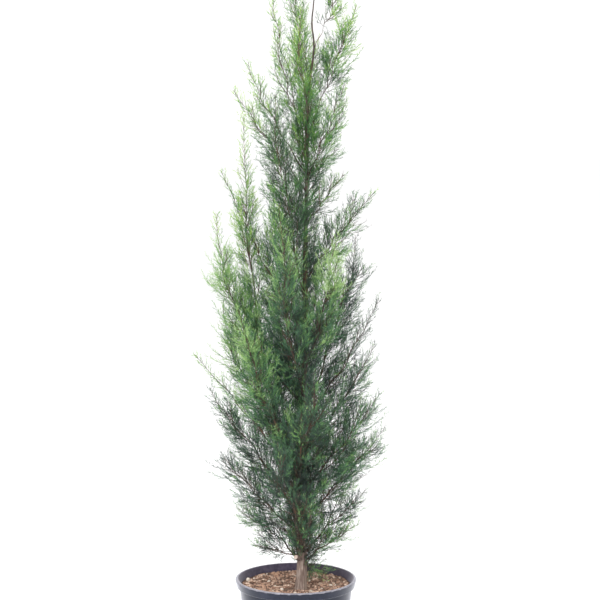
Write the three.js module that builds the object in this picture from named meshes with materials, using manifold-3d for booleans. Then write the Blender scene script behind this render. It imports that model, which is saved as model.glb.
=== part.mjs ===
// A young columnar cypress about 1.7 m tall, grown in a round black nursery pot.
// Millimetres, +Z up. The origin is the centre of the pot's flat underside; -Y is the front and +X the right.
import * as THREE from "three";
import { mergeVertices } from "three/addons/utils/BufferGeometryUtils.js";
import Module from "manifold-3d";

const wasm = await Module();
wasm.setup();

// ---- Driving dimensions ----

const GAP = 0.3; // clearance between neighbouring pieces

const POT = {
  height: 247,
  rimRadius: 146,
  baseRadius: 112,
  wall: 2.5,
  floor: 3,
  collarHeight: 20,
  collarOverhang: 10.5,
  lipWidth: 6,
  segments: 28,
};

const SOIL_TOP = 220; // the soil's surface round the trunk; every height on the tree is measured up from it
const SOIL = { edgeRise: 9, edgeWidth: 14, hollowRadius: 45 }; // watering has left it dished, higher at the pot's wall

// Where the trunk's axis runs: height above the soil, then x and y. It leans a little to the right.
const TRUNK_LINE = [
  [0, 12, 0],
  [85, 15, -3],
  [200, 3, 2],
  [450, 18, 6],
  [900, 24, -5],
  [1210, 33, 3],
  [1310, 42, 0],
  [1350, 38, -2],
  [1400, 42, 0],
  [1680, 48, 2],
];
const TREE_HEIGHT = TRUNK_LINE.at(-1)[0];
const TRUNK = {
  baseRadius: 12.5,
  tipRadius: 1.0,
  taper: 1.6,
  flare: 3,
  flareHeight: 14,
  sides: 7,
  steps: 16,
};

const LIMB = { tipShare: 0.55, sides: 5, steps: 3, intoMass: 12 };
const MASS = { sides: 6, rings: 6, lumps: 0.16 };

// One row for each plume of the crown, from the foot to the top. Heights are above the soil.
//   leaves  where its limb leaves the trunk      tip    how high its top reaches
//   reach   how far its top stands off the trunk side   the way it points: 0 right, 90 back, 180 left, 270 front
//   girth   the radius of its foliage            bow    over 1 it swings out and then climbs, under 1 it arches out late
//   bare    the share of the limb that carries no foliage; 0 where it is clothed right from the trunk
const PLUMES = [
  ["left_foot", 78, 112, 114, 188, 26, 0.9, 0.3],
  ["right_foot", 60, 164, 136, 352, 32, 0.85, 0.1],
  ["left_skirt", 64, 204, 152, 172, 44, 0.9, 0.15],
  ["right_skirt", 84, 234, 158, 14, 46, 0.95, 0.05],
  ["front_skirt", 86, 230, 124, 278, 36, 1.1, 0],
  ["back_skirt", 80, 226, 136, 96, 42, 1.1, 0],
  ["left_low", 130, 330, 186, 190, 54, 1.1, 0.1],
  ["right_low", 160, 398, 206, 356, 55, 1.1, 0.05],
  ["front_low", 130, 390, 172, 252, 50, 1.3, 0],
  ["back_low", 126, 408, 194, 76, 52, 1.3, 0],
  ["left_flank", 215, 482, 216, 166, 52, 1.15, 0],
  ["right_flank", 222, 490, 208, 340, 58, 1.1, 0],
  ["right_middle", 300, 592, 186, 8, 52, 1.1, 0],
  ["front_flank", 240, 560, 170, 284, 50, 1.4, 0],
  ["back_flank", 252, 640, 196, 104, 54, 1.4, 0],
  ["left_middle", 330, 700, 182, 174, 42, 1.9, 0],
  ["front_left", 300, 700, 190, 224, 50, 1.4, 0],
  ["back_right", 420, 850, 142, 26, 52, 1.5, 0],
  ["left_wisp", 275, 575, 246, 186, 20, 0.95, 0],
  ["right_rise", 400, 700, 188, 12, 30, 1.2, 0],
  ["left_spread", 450, 910, 205, 188, 50, 2.2, 0],
  ["right_bright", 400, 870, 146, 306, 46, 0.75, 0.3],
  ["middle_front", 450, 940, 150, 248, 48, 1.6, 0],
  ["middle_back", 470, 980, 166, 118, 52, 1.6, 0],
  ["back_rise", 560, 890, 150, 78, 50, 1.5, 0],
  ["right_dark", 880, 998, 92, 12, 25, 0.95, 0.2],
  ["left_high", 610, 1005, 197, 176, 17, 1.1, 0],
  ["left_tall", 250, 1140, 124, 184, 41, 2.4, 0.2],
  ["upper_front", 700, 1190, 118, 234, 50, 1.6, 0],
  ["upper_back", 850, 1150, 84, 96, 40, 1.5, 0],
  ["right_spread", 745, 958, 162, 354, 40, 0.88, 0.15],
  ["upper_left_outer", 960, 1196, 172, 190, 30, 1.05, 0.2],
  ["upper_left", 1000, 1262, 139, 172, 28, 1.3, 0.2],
  ["upper_right", 985, 1212, 90, 352, 42, 1.1, 0],
  ["top_front", 1000, 1380, 76, 260, 33, 1.6, 0],
  ["top_back", 1040, 1440, 82, 94, 38, 1.6, 0],
  ["top_right", 1085, 1392, 116, 352, 42, 1, 0.3],
  ["top_left_low", 1045, 1340, 78, 180, 33, 1.15, 0],
  ["top_left_inner", 1130, 1540, 28, 190, 25, 2.6, 0],
  ["top_left", 1150, 1470, 82, 176, 14, 2.5, 0.2],
  ["top_right_inner", 1290, 1450, 74, 8, 26, 1, 0.32],
];
const LEADER_FOLIAGE = { from: 1400, girth: 26 }; // the plume that the trunk's own tip carries

const COLOURS = {
  pot: [0x23252c, 0.42],
  soil: [0x6f5444, 0.95],
  bark: [0x7d6a5c, 0.85],
  foliage: [0x4f6f47, 0.75],
};

// ---- Solids and cuts ----

/** A closed three.js geometry as a manifold-3d solid. */
function solidOf(geometry) {
  const bare = geometry.clone();
  bare.deleteAttribute("normal");
  bare.deleteAttribute("uv");
  const merged = mergeVertices(bare, 1e-3);
  return new wasm.Manifold(
    new wasm.Mesh({
      numProp: 3,
      vertProperties: merged.attributes.position.array,
      triVerts: new Uint32Array(merged.index.array),
    }),
  );
}

/** A solid as a three.js geometry, faceted. */
function geometryOf(solid) {
  const mesh = solid.getMesh();
  const geometry = new THREE.BufferGeometry();
  geometry.setAttribute("position", new THREE.BufferAttribute(mesh.vertProperties, 3));
  geometry.setIndex(new THREE.BufferAttribute(mesh.triVerts, 1));
  const faceted = geometry.toNonIndexed();
  faceted.computeVertexNormals();
  return faceted;
}

/** The largest of the bodies that a cut has left. */
function largestBody(solid) {
  const bodies = solid.decompose();
  return bodies.reduce((best, body) => (body.volume() > best.volume() ? body : best));
}

// ---- Curves ----

/** The trunk's axis from the soil to its tip. */
const trunkCurve = new THREE.CatmullRomCurve3(
  TRUNK_LINE.map(([height, x, y]) => new THREE.Vector3(x, y, SOIL_TOP + height)),
  false,
  "centripetal",
);

/** Where along its axis, from 0 to 1, the trunk reaches a height above the soil. */
function trunkShare(height) {
  let low = 0;
  let high = 1;
  for (let i = 0; i < 30; i += 1) {
    const middle = (low + high) / 2;
    if (trunkCurve.getPoint(middle).z < SOIL_TOP + height) low = middle;
    else high = middle;
  }
  return low;
}

/** The trunk's radius at a height above the soil. */
function trunkRadius(height) {
  const left = Math.max(0, 1 - height / TREE_HEIGHT);
  const flare = TRUNK.flare * Math.exp(-Math.max(0, height) / TRUNK.flareHeight);
  return TRUNK.tipRadius + (TRUNK.baseRadius - TRUNK.tipRadius) * left ** TRUNK.taper + flare;
}

/** The axis of one limb, from the trunk's axis to the tip of its plume. */
class LimbCurve extends THREE.Curve {
  constructor({ leaves, tip, reach, side, bow }) {
    super();
    this.start = trunkCurve.getPoint(trunkShare(leaves));
    this.rise = tip - leaves;
    this.reach = reach;
    this.bow = bow;
    const angle = THREE.MathUtils.degToRad(side);
    this.outward = new THREE.Vector3(Math.cos(angle), Math.sin(angle), 0);
  }

  getPoint(t, target = new THREE.Vector3()) {
    const out = this.bow > 1 ? 1 - (1 - t) ** this.bow : t ** (1 / this.bow);
    return target
      .copy(this.start)
      .addScaledVector(this.outward, this.reach * out)
      .setZ(this.start.z + this.rise * t);
  }
}

/** A part of another curve, as a curve of its own. */
class PartOfCurve extends THREE.Curve {
  constructor(whole, from, to) {
    super();
    this.whole = whole;
    this.from = from;
    this.to = to;
  }

  getPoint(t, target) {
    return this.whole.getPoint(THREE.MathUtils.lerp(this.from, this.to, t), target);
  }
}

// ---- Shapes ----

/**
 * Bends a unit cylinder or sphere, which stands along +Y from -1 to 1, along a curve.
 * radiusAt(share, angle) gives the radius at a share of the curve's length, and growth adds to it
 * and to both ends.
 */
function alongCurve(geometry, curve, steps, growth, radiusAt) {
  const frames = curve.computeFrenetFrames(steps);
  const place = geometry.attributes.position;
  const vertex = new THREE.Vector3();
  for (let i = 0; i < place.count; i += 1) {
    vertex.fromBufferAttribute(place, i);
    const share = (vertex.y + 1) / 2;
    const flat = Math.hypot(vertex.x, vertex.z);
    const angle = Math.atan2(vertex.z, vertex.x);
    const radius = flat < 1e-6 ? 0 : radiusAt(share, angle) + growth;
    const frame = Math.round(share * steps);
    const middle = curve.getPointAt(share);
    middle.addScaledVector(frames.tangents[frame], growth * vertex.y * 2);
    middle.addScaledVector(frames.normals[frame], -radius * Math.cos(angle));
    middle.addScaledVector(frames.binormals[frame], radius * Math.sin(angle));
    place.setXYZ(i, middle.x, middle.y, middle.z);
  }
  return geometry;
}

/** A round limb with flat ends along a curve. */
function limbShape(curve, sides, steps, growth, radiusAt) {
  const tube = new THREE.CylinderGeometry(1, 1, 2, sides, steps);
  return solidOf(alongCurve(tube, curve, steps, growth, radiusAt));
}

/** An uneven flame of foliage round a curve: full low down, drawn out to a point at its top. */
function flameShape(curve, girth, phase, growth) {
  const ball = new THREE.SphereGeometry(1, MASS.sides, MASS.rings);
  const radiusAt = (share, angle) => {
    const profile = Math.sin(Math.PI * share ** 0.72) ** 0.8;
    const uneven =
      1 +
      MASS.lumps * Math.sin(3 * angle + 7 * share + phase) +
      MASS.lumps * 0.7 * Math.sin(2 * angle - 11 * share + 2 * phase);
    return girth * profile * uneven;
  };
  const place = ball.attributes.position;
  for (let i = 0; i < place.count; i += 1) {
    const angleDown = Math.acos(THREE.MathUtils.clamp(place.getY(i), -1, 1));
    place.setY(i, 1 - (2 * angleDown) / Math.PI); // rings evenly spaced along the curve
  }
  return solidOf(alongCurve(ball, curve, MASS.rings, growth, radiusAt));
}

/** A shape turned round the pot's axis. The profile runs from the axis to the axis. */
function turned(profile) {
  const points = profile.map(([radius, z]) => new THREE.Vector2(radius, z));
  return solidOf(new THREE.LatheGeometry(points, POT.segments).rotateX(Math.PI / 2));
}

// ---- The pieces ----

/** The pot's inner radius at a height. */
function potInside(z) {
  const shoulder = POT.height - POT.collarHeight;
  const bodyTop = POT.rimRadius - POT.collarOverhang;
  const outside = POT.baseRadius + ((bodyTop - POT.baseRadius) * z) / shoulder;
  return outside - POT.wall;
}

function potSolid() {
  const { height, rimRadius, baseRadius, floor, collarHeight, collarOverhang, lipWidth } = POT;
  const shoulder = height - collarHeight;
  const bodyTop = rimRadius - collarOverhang;
  return turned([
    [0, 0],
    [baseRadius - 2, 0],
    [baseRadius, 2],
    [bodyTop, shoulder],
    [rimRadius - 4, shoulder],
    [rimRadius, height - 3],
    [rimRadius - 2, height],
    [rimRadius - lipWidth, height],
    [potInside(shoulder), shoulder],
    [potInside(floor + 2), floor + 2],
    [potInside(floor) - 3, floor],
    [0, floor],
  ]);
}

function soilSolid() {
  const low = POT.floor + GAP;
  const edge = SOIL_TOP + SOIL.edgeRise;
  return turned([
    [0, low],
    [potInside(low) - 4, low],
    [potInside(low + 3) - GAP, low + 3],
    [potInside(edge) - GAP, edge],
    [potInside(edge) - SOIL.edgeWidth, edge],
    [SOIL.hollowRadius, SOIL_TOP],
    [0, SOIL_TOP],
  ]);
}

/** The trunk, cut flat just above the soil. */
function trunkSolid(growth) {
  const below = 20; // how far the stem runs on under the cut before it is cut
  const start = trunkCurve.getPoint(0).setZ(SOIL_TOP - below);
  const rooted = new THREE.CurvePath();
  rooted.add(new THREE.LineCurve3(start, trunkCurve.getPoint(0)));
  rooted.add(trunkCurve);
  const stem = limbShape(rooted, TRUNK.sides, TRUNK.steps, growth, (share) =>
    trunkRadius(rooted.getPointAt(share).z - SOIL_TOP),
  );
  const ground = new THREE.BoxGeometry(POT.rimRadius, POT.rimRadius, 2 * below);
  ground.translate(0, 0, SOIL_TOP - below + GAP - growth);
  return stem.subtract(solidOf(ground));
}

/** How thick a limb is where it leaves the trunk. */
function limbRadius(plume) {
  const byLength = 2.2 + (plume.tip - plume.leaves) / 150;
  return Math.min(byLength, 0.62 * trunkRadius(plume.leaves));
}

function limbSolid(plume, curve, growth) {
  const end = plume.bare + LIMB.intoMass / curve.getLength();
  const radius = limbRadius(plume);
  const radiusAt = (share) => radius * THREE.MathUtils.lerp(1, LIMB.tipShare, share);
  return limbShape(new PartOfCurve(curve, 0, end), LIMB.sides, LIMB.steps, growth, radiusAt);
}

// ---- The assembly ----

const tree = new THREE.Group();
const placed = [];

/** Cuts a solid clear of what is already there, keeps its largest body and adds it under its name. */
function place(name, colour, make) {
  let piece = make(0);
  for (const neighbour of placed) piece = piece.subtract(neighbour);
  const [hex, roughness] = COLOURS[colour];
  const material = new THREE.MeshStandardMaterial({ color: hex, roughness, metalness: 0 });
  const mesh = new THREE.Mesh(geometryOf(largestBody(piece)), material);
  mesh.name = name;
  tree.add(mesh);
  placed.push(make(GAP));
}

place("pot", "pot", potSolid);
place("soil", "soil", soilSolid);
placed.length = 0; // the pot and the soil already lie clear of each other and of the tree

place("trunk", "bark", trunkSolid);

const plumes = PLUMES.map(([name, leaves, tip, reach, side, girth, bow, bare]) => {
  const plume = { name, leaves, tip, reach, side, girth, bow, bare };
  return { ...plume, curve: new LimbCurve(plume) };
});

for (const plume of plumes.filter(({ bare }) => bare > 0))
  place(`bough_${plume.name}`, "bark", (growth) => limbSolid(plume, plume.curve, growth));

const leader = new PartOfCurve(trunkCurve, trunkShare(LEADER_FOLIAGE.from), 1);
place("foliage_crown_tip", "foliage", (growth) => flameShape(leader, LEADER_FOLIAGE.girth, 0, growth));

plumes.toReversed().forEach((plume, index) => {
  const clothed = new PartOfCurve(plume.curve, plume.bare, 1);
  place(`foliage_${plume.name}`, "foliage", (growth) =>
    flameShape(clothed, plume.girth, 1.7 * (index + 1), growth),
  );
});

export default tree;
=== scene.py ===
"""A young columnar cypress in a black nursery pot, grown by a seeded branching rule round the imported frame.

The trunk carries a plume of foliage for each row of PLUMES. A plume has a main stem, which carries side
stems. Both carry shoots, the shoots carry sprays, and the sprays carry twiglets, the finest of the leaves.
"""

import math

import bmesh
import bpy
import numpy as np
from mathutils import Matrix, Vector, noise


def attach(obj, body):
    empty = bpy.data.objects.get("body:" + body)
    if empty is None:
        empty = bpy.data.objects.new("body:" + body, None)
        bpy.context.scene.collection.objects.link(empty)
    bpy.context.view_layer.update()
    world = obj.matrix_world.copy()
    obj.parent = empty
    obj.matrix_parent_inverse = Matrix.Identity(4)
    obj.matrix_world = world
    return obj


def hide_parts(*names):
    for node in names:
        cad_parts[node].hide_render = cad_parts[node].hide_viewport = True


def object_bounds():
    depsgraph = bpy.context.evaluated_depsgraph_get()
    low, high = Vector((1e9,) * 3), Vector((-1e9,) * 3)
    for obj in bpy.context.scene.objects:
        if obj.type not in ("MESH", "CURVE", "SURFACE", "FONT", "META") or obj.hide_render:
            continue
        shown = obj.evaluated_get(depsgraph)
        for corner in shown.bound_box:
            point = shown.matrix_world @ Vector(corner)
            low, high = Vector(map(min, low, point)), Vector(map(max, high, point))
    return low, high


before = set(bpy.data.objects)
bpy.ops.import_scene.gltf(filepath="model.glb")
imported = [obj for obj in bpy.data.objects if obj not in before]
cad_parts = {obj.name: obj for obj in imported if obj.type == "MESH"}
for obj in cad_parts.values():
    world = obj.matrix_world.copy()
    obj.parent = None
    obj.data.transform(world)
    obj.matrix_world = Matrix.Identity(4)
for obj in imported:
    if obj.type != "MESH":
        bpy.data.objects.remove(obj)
cad_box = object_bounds()

MM = 0.001
SEED = 5

# ---- Driving dimensions, in millimetres ----

POT = {
    "height": 247,
    "rim": 146,
    "foot": 112,
    "wall": 2.5,
    "floor": 3,
    "collar": 20,
    "overhang": 10.5,
    "lip": 6,
    "foot_corner": 2,
    "collar_slope": 4,
    "rim_corner": (2, 3),
    "inner_corner": (3, 2),
    "lip_depth": 4,
    "rounding": 1.4,
    "steps": 144,
}
# The soil is dished by watering: flat round the trunk, then rising to the pot's wall.
SOIL = {"top": 220, "edge_rise": 9, "edge_width": 14, "hollow": 45, "gap": 0.3, "lump": 2.0}
SOIL_STEPS = 150
SOIL_RINGS = 46
CHIPS = {"count": 950, "length": (6, 17), "width": (2.5, 7), "depth": (1.2, 3.6), "lift": 0.7}
STONES = {"count": 26, "size": (1.4, 3.2), "lift": 0.6}
# How much loose bits tilt, in radians, and how uneven they are.
CHIPS_LIE = (0.26, 0.22)
STONES_LIE = (0.3, 0.12)
# How far loose bits keep from the pot's wall and from the trunk's axis.
CLEAR = {"wall": 5, "trunk": 19}
# The larger stones: x, y and half the width of each.
LUMPS = [(-116, 32, 6.5), (-2, -66, 6.0), (36, -44, 5.5), (84, -2, 4.5), (-34, -14, 5.0), (-66, 44, 4.0)]
# The stub of a cut limb; its foot is wider than its end by a factor.
STUB = {"height": 74, "out": (-0.62, -0.70, 0.36), "radius": 5.6, "length": 25, "foot": 1.35}
SOIL_TOP = SOIL["top"] * MM

# Where the trunk's axis runs: height above the soil, then x and y.
TRUNK_LINE = [
    (0, 12, 0),
    (85, 15, -3),
    (200, 3, 2),
    (450, 18, 6),
    (900, 24, -5),
    (1210, 33, 3),
    (1310, 42, 0),
    (1350, 38, -2),
    (1400, 42, 0),
    (1680, 48, 2),
]
TREE_HEIGHT = TRUNK_LINE[-1][0]
TRUNK = {"base": 12.5, "tip": 1.0, "taper": 1.6, "flare": 3.0, "flare_height": 14, "sides": 56}
# From which height the trunk's bark is darker, and how uneven that border is.
DARKER_BARK = {"from": 420, "uneven": 160}
# The furrows of the bark: how close they lie, and how deep they are in metres.
TRUNK_FURROWS = (240, 0.0011)
BOUGH_FURROWS = (420, 0.00035)
# The rings of the trunk's bark: from and to which height, and how many.
TRUNK_RINGS = [(-6, 420, 210), (423, TREE_HEIGHT, 300)]
BOUGHS = {"points": 110, "sides": 10, "tip": 0.0004, "taper": 1.6, "collar": 0.5, "collar_length": 0.010}

# One row for each plume of the crown. Heights are above the soil.
#   leaves: where its stem leaves the trunk; tip: how high it reaches; reach: how far its top stands out
#   side: the way it points, 0 right, 90 back, 180 left, 270 front; girth: the radius of its foliage
#   bow: over 1 it swings out and then climbs; bare: the share of the stem without foliage
#   fresh_and_lit: how light its outer growth is, from young growth and from painted light: below 0 dark, old
#   and with painted shade, 0 middling, 1 and more yellow-green, young and with a painted highlight
PLUMES = [
    ("left_foot", 78, 112, 114, 188, 26, 0.9, 0.3, 0.2),
    ("right_foot", 60, 164, 136, 352, 32, 0.85, 0.1, 0.9),
    ("left_skirt", 64, 204, 152, 172, 44, 0.9, 0.15, 0.7),
    ("right_skirt", 84, 234, 158, 14, 46, 0.95, 0.05, -0.9),
    ("front_skirt", 86, 230, 124, 278, 36, 1.1, 0, 0.6),
    ("back_skirt", 80, 226, 136, 96, 42, 1.1, 0, 0.05),
    ("left_low", 130, 330, 186, 190, 54, 1.1, 0.1, -1.2),
    ("right_low", 160, 398, 206, 356, 55, 1.1, 0.05, 0),
    ("front_low", 130, 390, 172, 252, 50, 1.3, 0, -1.1),
    ("back_low", 126, 408, 194, 76, 52, 1.3, 0, 0.1),
    ("left_flank", 215, 482, 216, 166, 52, 1.15, 0, -1.2),
    ("right_flank", 222, 490, 208, 340, 58, 1.1, 0, -0.3),
    ("right_middle", 300, 592, 186, 8, 52, 1.1, 0, -0.8),
    ("front_flank", 240, 560, 170, 284, 50, 1.4, 0, -0.5),
    ("back_flank", 252, 640, 196, 104, 54, 1.4, 0, -0.3),
    ("left_middle", 330, 700, 182, 174, 42, 1.9, 0, 1.2),
    ("front_left", 300, 700, 190, 224, 50, 1.4, 0, 0.8),
    ("back_right", 420, 850, 142, 26, 52, 1.5, 0, -0.8),
    ("left_wisp", 275, 575, 246, 186, 20, 0.95, 0, 0.6),
    ("right_rise", 400, 700, 188, 12, 30, 1.2, 0, -0.9),
    ("left_spread", 450, 910, 205, 188, 50, 2.2, 0, 1),
    ("right_bright", 400, 870, 146, 306, 46, 0.75, 0.3, 3),
    ("middle_front", 450, 940, 150, 248, 48, 1.6, 0, 0.9),
    ("middle_back", 470, 980, 166, 118, 52, 1.6, 0, -0.4),
    ("back_rise", 560, 890, 150, 78, 50, 1.5, 0, -0.5),
    ("right_dark", 880, 998, 92, 12, 25, 0.95, 0.2, 0.1),
    ("left_high", 610, 1005, 197, 176, 17, 1.1, 0, 0.5),
    ("left_tall", 250, 1140, 124, 184, 41, 2.4, 0.2, 0.8),
    ("upper_front", 700, 1190, 118, 234, 50, 1.6, 0, -1.7),
    ("upper_back", 850, 1150, 84, 96, 40, 1.5, 0, 0.25),
    ("right_spread", 745, 958, 162, 354, 40, 0.88, 0.15, -0.4),
    ("upper_left_outer", 960, 1196, 172, 190, 30, 1.05, 0.2, 0.35),
    ("upper_left", 1000, 1262, 139, 172, 28, 1.3, 0.2, 0.2),
    ("upper_right", 985, 1212, 90, 352, 42, 1.1, 0, 0.45),
    ("top_front", 1000, 1380, 76, 260, 33, 1.6, 0, 1),
    ("top_back", 1040, 1440, 82, 94, 38, 1.6, 0, 0.35),
    ("top_right", 1085, 1392, 116, 352, 42, 1, 0.3, 0.65),
    ("top_left_low", 1045, 1340, 78, 180, 33, 1.15, 0, 0.5),
    ("top_left_inner", 1130, 1540, 28, 190, 25, 2.6, 0, 0.75),
    ("top_left", 1150, 1470, 82, 176, 14, 2.5, 0.2, 0.4),
    ("top_right_inner", 1290, 1450, 74, 8, 26, 1, 0.32, 0.5),
]
LEADER = {"from": 1400, "girth": 26, "fresh_and_lit": 0.6}

# How far the crown reaches round the trunk, at heights above the soil.
CROWN_HEIGHTS = [40, 110, 200, 400, 620, 900, 1200, 1680]
CROWN_RADII = [90, 150, 190, 225, 220, 205, 150, 40]

# The foliage's plain tints as linear colours, from the darkest to the lightest: the darker ones are old
# growth and painted shade deep in the crown, the lighter ones young growth and painted highlight on lit
# plumes. The second colour is for growth high up in the crown, which is a warmer green.
TINTS = [
    ("deep_shade", (0.045, 0.067, 0.058), (0.041, 0.068, 0.045)),
    ("dark", (0.053, 0.100, 0.065), (0.050, 0.104, 0.048)),
    ("blue_green", (0.083, 0.193, 0.100), (0.075, 0.200, 0.067)),
    ("green", (0.134, 0.284, 0.098), (0.124, 0.294, 0.061)),
    ("bright", (0.228, 0.405, 0.125), (0.214, 0.410, 0.080)),
    ("fresh_and_lit", (0.365, 0.540, 0.215), (0.365, 0.540, 0.130)),
]
# From which height growth is high up, and how far that border strays for a tint step.
HIGH = {"height": 860, "blur": 220}

# How a shoot's lightness is made up, in steps of the tints: a rise towards the crown's outside, which is
# painted shade inside the crown, the plume's own lightness, a rise with height and random mixing. Then how
# far the lightness of whole stems strays at random.
TINT_LIGHTNESS = {"least": 0.2, "outside": 2.2, "outside_power": 1.5, "fresh_and_lit": 1.7, "high": 1.8, "mixed": 0.75}
PATCHES = 0.35

# The branching rule. Spacings, lengths and radii are in metres, angles in degrees.
STEM_POINTS = 33
# A stem's slow sway to the sides and its finer kinks in and out: how far, and in how many waves.
STEM_SWAYS = [(0.010, 1.3), (0.004, 3.7)]
SIDE_STEMS = {
    "spacing": 0.050,
    "from": 0.03,
    "to": 0.78,
    "angle": (30, 22),
    "points": 9,
    "lean": 0.36,
    "shortest": 0.030,
    "pull": (0.7, 0.45, 0.15),
    "stray": 0.06,
}
SIDE_STEM_RADII = np.linspace(0.0012, 0.0004, SIDE_STEMS["points"])
SHOOTS = {
    "spacing": 0.0040,
    "to": 0.985,
    "angle": (56, 36),
    "lean": 0.50,
    "shortest": 0.016,
    "pull": (0.55, 0.38, 0.42),
    "wisp_pull": 0.30,
    "stray": 0.14,
}
# Small twigs stand along what carries them, from a share of its length on. reach: their length as a share
# of its length, the factor at its foot and what that loses towards its tip; length: the least and the most
# lighter_by: how many tint steps lighter they get along it, where they match it, and how mixed they are
SPRAYS = {
    "spacing": 0.0050,
    "from": 0.14,
    "angle": 38,
    "roll": 1.1,
    "stray": 0.18,
    "reach": (0.52, 1.05, 0.78),
    "length": (0.008, 0.034),
    "lighter_by": (1.6, 0.45, 0.8),
}
TWIGLETS = {
    "spacing": 0.0023,
    "from": 0.10,
    "angle": 36,
    "roll": 1.2,
    "stray": 0.15,
    "reach": (0.62, 1.1, 0.6),
    "length": (0.006, 0.018),
    "lighter_by": (1.0, 0.5, 0.35),
}
SPRAY_RADIUS = 0.0005
TWIGLET_HALF_WIDTH = 0.00048
# Shoots on the trunk beside each plume: how far they stand off in metres, and from where to where they grow
# beside its foot, but no lower or higher than given.
INNER = {"girth": 0.029, "from": -24, "to": 70, "lowest": 52, "highest": 1010}
# How many tint steps lighter the leaves beside the trunk are, by height above the soil. Below 0 they are
# darker: painted shade beside the trunk.
INNER_LIGHT_AND_SHADE = [(100, 0.5), (600, 1.1), (690, -0.6), (930, -1.4), (1010, 0.2)]
# The share of bare shoots at the crown's foot, the height over which it fades, and the share higher up.
BARE_TWIGS = {"foot": 0.5, "fade": 230, "inside": 0.12}
BARE_TWIGLETS = {
    "spacing": 0.0105,
    "from": 0.2,
    "angle": 44,
    "roll": 1.2,
    "stray": 0.3,
    "reach": (0.5, 1.1, 0.7),
    "length": (0.006, 0.026),
}
BARE_TWIGLET_RADIUS = 0.00042
# A cane has rings at shares of its twig's length. Its radius is a least one plus a part of that length, and
# is multiplied by the thickness at each ring.
LEAFY_CANE = {"at": (0.28, 0.65, 1), "radius": (0.00030, 0.0026), "thickness": (0.9, 0.7, 0.2)}
WOODY_FOOT = {"at": (0, 0.16, 0.32), "radius": (0.00034, 0.0030), "thickness": (1.25, 1.0, 0.8)}
BARE_CANE = {"at": (0.30, 0.65, 1), "radius": (0.00030, 0.0028), "thickness": (0.9, 0.6, 0.2)}
# Small sprigs low on the trunk, behind it: leaves, tip, reach, side and bow as in PLUMES.
LOW_SPRIGS = {
    "girth": 0.024,
    "lighter_by": 1.5,
    "rows": [(58, 38, 72, 16, 1), (54, 30, 62, 30, 1), (60, 52, 46, 44, 1)],
}
# Short shoots that hug the trunk above the place where it forks.
HUGGING = {"girth": 0.034, "lighter_by": 1.0, "from": 50, "to": 150, "lines": 3}
# How far a shoot may end outside the part's box.
SPARE = 0.004
# The shoots that stand out of a plume's outline: their share of all, how much longer and how much thinner.
WISPS = {"share": 0.2, "longer": 1.55, "thinner": 0.45}
# The lengths of side stems and shoots vary between these factors.
LENGTHS_VARY = (0.75, 1.1)
GOLDEN_ANGLE = math.radians(137.5)
UP = np.array([0.0, 0.0, 1.0])

WORLD_STRENGTH = 1.12
# The lamps: name, place and size in metres, and power.
LAMPS = [("key", (-2.4, -3.0, 3.4), 2.4, 150), ("fill", (2.6, -2.4, 2.2), 2.4, 40)]
LAMPS_AIM = (0, 0, 1.0)
CAMERA = {"place": (0.010, -4.5, 1.45), "downward": 6.7, "lens": 114.6, "sensor": 36}

rng = np.random.default_rng(SEED)


# ---- Small helpers ----


def reseed(number):
    """Starts the random numbers anew, so that a change to one plume leaves the others as they were."""
    global rng
    rng = np.random.default_rng([SEED, number])


def unit(v):
    """Vectors at length one."""
    return v / np.maximum(np.linalg.norm(v, axis=-1, keepdims=True), 1e-9)


def turn(v, axis, angle):
    """Vectors turned about unit axes by angles in radians."""
    c, s = np.cos(angle)[..., None], np.sin(angle)[..., None]
    along = np.sum(v * axis, axis=-1, keepdims=True) * axis
    return along + c * (v - along) + s * np.cross(axis, v)


def across(v):
    """A unit vector square to each vector."""
    flat = np.where(np.abs(v[..., 2:]) < 0.9, UP, np.array([1.0, 0.0, 0.0]))
    return unit(np.cross(v, flat))


def add_object(data, *materials):
    """Puts a mesh with its materials, a lamp or a camera in the scene under its own name."""
    piece = bpy.data.objects.new(data.name, data)
    for material in materials:
        data.materials.append(material)
    bpy.context.scene.collection.objects.link(piece)
    return piece


def settle(piece, slot, *nodes):
    """Hides the CAD nodes a piece stands for and puts the piece under the root body; slot is not used."""
    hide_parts(*nodes)
    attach(piece, "root")


def mesh_of(name, points, triangles, slots):
    """A mesh from arrays of points, triangles and each triangle's material slot."""
    mesh = bpy.data.meshes.new(name)
    mesh.vertices.add(len(points))
    mesh.vertices.foreach_set("co", points.astype(np.float32).ravel())
    mesh.loops.add(len(triangles) * 3)
    mesh.loops.foreach_set("vertex_index", triangles.astype(np.int32).ravel())
    mesh.polygons.add(len(triangles))
    mesh.polygons.foreach_set("loop_start", np.arange(0, len(triangles) * 3, 3, dtype=np.int32))
    mesh.polygons.foreach_set("material_index", slots.astype(np.int32))
    mesh.update(calc_edges=True)
    mesh.validate()
    return mesh


# ---- Materials ----


def plain_material(name, colour, roughness=0.6, specular=0.3):
    material = bpy.data.materials.new(name)
    material.use_nodes = True
    shader = material.node_tree.nodes["Principled BSDF"]
    shader.inputs["Base Color"].default_value = (*colour, 1)
    shader.inputs["Roughness"].default_value = roughness
    shader.inputs["Specular IOR Level"].default_value = specular
    return material


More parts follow.
